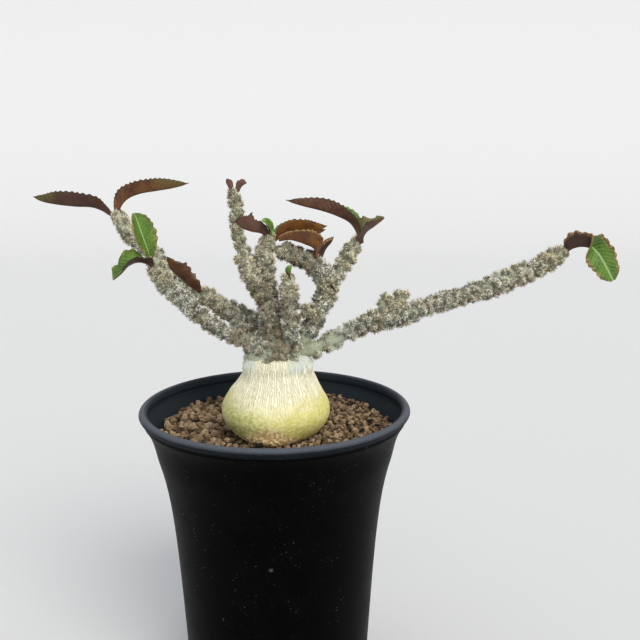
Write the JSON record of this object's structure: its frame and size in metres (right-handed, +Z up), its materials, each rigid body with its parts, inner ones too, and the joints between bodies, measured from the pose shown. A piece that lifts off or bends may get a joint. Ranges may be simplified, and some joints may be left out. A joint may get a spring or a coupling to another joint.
{
  "type": "potted euphorbia suzannae-marnierae",
  "caption": "Potted caudex succulent: a swollen bulb in clay grains with knobbly grey branches and folded scalloped leaves, in a flared black plastic pot.",
  "frame": {"origin": "centre of the pot's underside, on the surface the pot stands on", "axes": "+Z up along the pot's axis, +X towards the tip of the long right branch, +Y away from the viewer of the picture"},
  "size_m": [0.1878, 0.09, 0.1748],
  "materials": {
    "pot": "satin",
    "soil": "matte",
    "bulb": "satin",
    "bark": "matte",
    "leaf_brown": "satin",
    "leaf_green": "satin"
  },
  "bodies": {
    "root": {"pot": "pot", "soil": "soil", "bulb": "bulb", "crown": "bark", "branch_right_long": "bark", "branch_left_low": "bark", "branch_arch": "bark", "branch_centre": "bark", "branch_centre_short": "bark", "branch_left_short": "bark", "branch_left_long": "bark", "branch_back": "bark", "leaf_left_long_1": "leaf_brown", "leaf_left_long_2": "leaf_brown", "leaf_left_low_green": "leaf_green", "leaf_left_low_curved": "leaf_brown", "leaf_left_short": "leaf_brown", "leaf_back_1": "leaf_brown", "leaf_back_2": "leaf_brown", "leaf_centre_left": "leaf_brown", "leaf_centre_small": "leaf_green", "leaf_centre_right": "leaf_brown", "leaf_centre_behind": "leaf_brown", "leaf_arch": "leaf_brown", "leaf_arch_spear": "leaf_brown", "leaf_upper_long": "leaf_brown", "leaf_upper_cup": "leaf_brown", "leaf_centre_short": "leaf_green", "leaf_right_tip": "leaf_green"}
  },
  "joints": []
}
